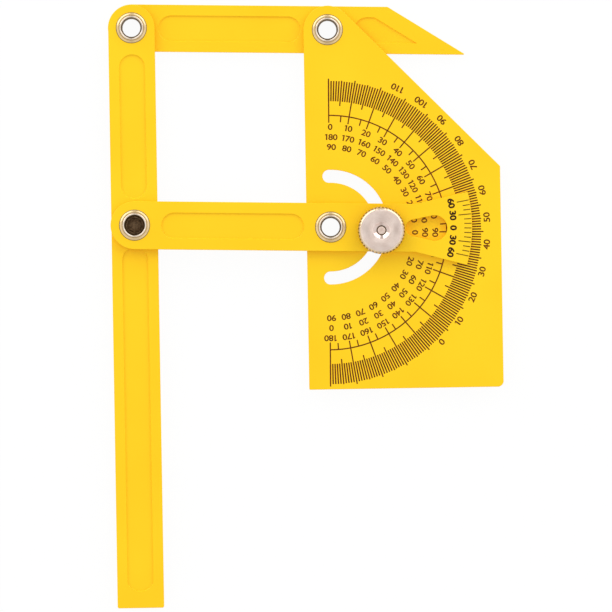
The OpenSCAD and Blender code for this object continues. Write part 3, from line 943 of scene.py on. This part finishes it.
def left_side(number, side, foot):
    """Selects the faces of a number that look left at x = side, above y = foot."""
    bpy.ops.mesh.select_all(action="DESELECT")
    bpy.ops.object.mode_set(mode="OBJECT")
    for face in number.data.polygons:
        face.select = (face.normal.x < -0.99 and abs(face.center.x - side) < same_side
            and face.center.y > foot)
    bpy.ops.object.mode_set(mode="EDIT")


def flag_ones(number, count, pitch):
    """Gives the first digits of a number, which are ones, their flags, and closes them up."""
    left = min(point.co.x for point in number.data.vertices)
    bar_top = max(point.co.y for point in number.data.vertices if point.co.x < left + near_left)
    foot = bar_top - flag_width
    for digit in range(count):
        side = left + digit * pitch
        left_side(number, side, 0)
        bpy.ops.mesh.bisect(plane_co=(0, foot, 0), plane_no=(0, 1, 0))
        left_side(number, side, foot)
        bpy.ops.mesh.extrude_region_move(
            TRANSFORM_OT_translate={"value": (-flag_reach, -flag_fall, 0)})
        bpy.ops.object.mode_set(mode="OBJECT")
        for point in number.data.vertices:
            if point.co.x < side + pitch / 2:
                point.co.x += one_shift
        bpy.ops.object.mode_set(mode="EDIT")


print(f"flags {flag_width * 1000:.2f} mm wide")

# %% Helper for numbers
digit_stretch = 1.18
letter_space = 0.95

# A digit's height and the pitch of ones, as shares of the font's size.
digit_share = 0.73
one_pitch = 0.475

# How far apart the strikes are: a share of the boldness, and a trace in height.
strike_reach = 1.7
strike_lift = mm(0.001)


def printed_number(value, height, radius, angle, centre, turn, lift, boldness):
    """A number whose middle is at a radius and angle round centre, turned by turn from upright."""
    digits = str(value)
    struck = "4" in digits
    bpy.ops.object.select_all(action="DESELECT")
    bpy.ops.object.text_add(location=(0, 0, 0))
    number = bpy.context.object
    number.data.body = digits
    number.data.size = height / digit_share
    number.data.space_character = letter_space
    number.data.resolution_u = 3
    number.data.offset = 0 if struck else boldness
    number.data.extrude = (ink_sunk + lift) / 2
    bpy.ops.object.convert(target="MESH")
    bpy.ops.object.mode_set(mode="EDIT")
    bpy.ops.mesh.select_mode(type="FACE")
    bpy.ops.mesh.select_all(action="SELECT")
    bpy.ops.mesh.remove_doubles(threshold=ink_gap)
    ones = len(digits) - len(digits.lstrip("1"))
    flag_ones(number, ones, one_pitch * height / digit_share)
    if struck:
        reach = strike_reach * boldness
        for strike in ((reach, 0, strike_lift), (0, reach, 2 * strike_lift)):
            bpy.ops.mesh.select_all(action="SELECT")
            bpy.ops.mesh.duplicate_move(TRANSFORM_OT_translate={"value": strike})
    bpy.ops.object.mode_set(mode="OBJECT")
    places = [point.co for point in number.data.vertices]
    middle = (Vector(map(min, zip(*places))) + Vector(map(max, zip(*places)))) / 2
    away = Vector((math.cos(angle), math.sin(angle), 0))
    place = centre + away * radius + Vector((0, 0, (lift - ink_sunk) / 2))
    number.data.transform(Matrix.Translation(place) @ Matrix.Rotation(turn, 4, "Z")
        @ Matrix.Diagonal((digit_stretch, 1, 1, 1)) @ Matrix.Translation(-middle))
    return number


print(f"digits stretched by {digit_stretch}")

# %% Inner numbers of the scale
number_lift = mm(0.02)
number_boldness = mm(0.07)
inner_height = mm(2.6)
upright = math.radians(90)
middle_step = 9
ring_slip = math.radians(0.3)
middle_angle = scale_start + upright - ring_slip

# Each ring's radius in mm, its pitch in degrees, its lean in degrees and its values.
inner_rings = ((45.7, 9.95, 0.0, range(180, -1, -10)), (41.3, 9.88, 0.95, range(0, 181, 10)),
    (37.0, 9.86, 1.7, [*range(90, -1, -10), *range(10, 91, 10)]))
numbers = []
for radius, pitch, lean, values in inner_rings:
    for step, value in enumerate(values):
        turned = math.radians(pitch * (step - middle_step))
        if step > middle_step:
            turned -= math.radians(lean) * math.sin(2 * turned)
        angle = middle_angle + turned
        numbers.append(printed_number(value, inner_height, mm(radius), angle, scale_centre,
            angle - upright, number_lift, number_boldness))
print(len(numbers), "inner numbers")

# %% Outer numbers of the scale
outer_height = mm(2.8)
outer_radius = mm(68.4)
outer_pitch = 9.91
outer_start = 45.05
outer_offset = Vector((mm(-0.18), mm(0.73), 0))
outer_centre = scale_centre + outer_offset

for step, value in enumerate(range(0, 111, 10)):
    angle = scale_start + math.radians(outer_pitch * step + outer_start)
    numbers.append(printed_number(value, outer_height, outer_radius, angle, outer_centre,
        angle + upright, number_lift, number_boldness))
join_print("scale_numbers", numbers, brown_ink, "plate")

# %% [markdown]
# ## Vernier
# The end of the arm carries a vernier: twelve parts that span 23 degrees of the scale, so each is
# short of two degrees by five minutes. Its lines lie on the slope down to the fan's edge, so each
# bar is tilted by the slope before it is turned to its place. The numbers stand on the flat
# above the slope, in bold.

# %% Vernier lines
fan_radius = mm(61.2)
fan_rim = mm(0.3)
slope_length = mm(6.2)
slope_drop = mm(2.2)
line_end = fan_radius - fan_rim
long_start = mm(55.5)
short_start = mm(57.8)
long_parts = (-6, -3, 3, 6)
vernier_step = math.radians(23 / 12)
vernier_width = mm(0.42)
vernier_lift = mm(0.015)
vernier_slip = math.radians(0.2)
vernier_angle = arm_angle + vernier_slip
arm_centre = Vector((centre_pivot.x, centre_pivot.y, arm_face))
slope_start = arm_centre + Vector((fan_radius - slope_length, 0, 0))
slope = math.atan2(slope_drop, slope_length)


def vernier_line(inner, part):
    """A line on the slope, at a number of parts from the arm's middle."""
    along = (inner - (fan_radius - slope_length)) / math.cos(slope)
    length = (line_end - inner) / math.cos(slope)
    line = ink_bar(along, along + length, vernier_width, slope_start, 0, vernier_lift)
    bpy.ops.object.mode_set(mode="OBJECT")
    line.data.transform(Matrix.Translation(slope_start) @ Matrix.Rotation(slope, 4, "Y")
        @ Matrix.Translation(-slope_start))
    turn = Matrix.Rotation(vernier_angle + part * vernier_step, 4, "Z")
    line.data.transform(Matrix.Translation(arm_centre) @ turn @ Matrix.Translation(-arm_centre))
    return line


vernier_lines = [vernier_line(long_start if part in long_parts else short_start, part)
    for part in range(-6, 7)]
join_print("vernier_lines", vernier_lines, fine_ink, "indicator")

# %% Vernier numbers
vernier_height = mm(2.75)
vernier_radius = mm(53.1)
vernier_boldness = mm(0.15)

vernier_numbers = []
for part, value in ((6, 60), (3, 30), (0, 0), (-3, 30), (-6, 60)):
    angle = vernier_angle + part * vernier_step
    vernier_numbers.append(printed_number(value, vernier_height, vernier_radius, angle,
        arm_centre, angle - upright, number_lift, vernier_boldness))
join_print("vernier_numbers", vernier_numbers, black_ink, "indicator")

# %% [markdown]
# ## Sizes
# Dressing a model must not change its size.

# %% End
print("all pieces dressed")
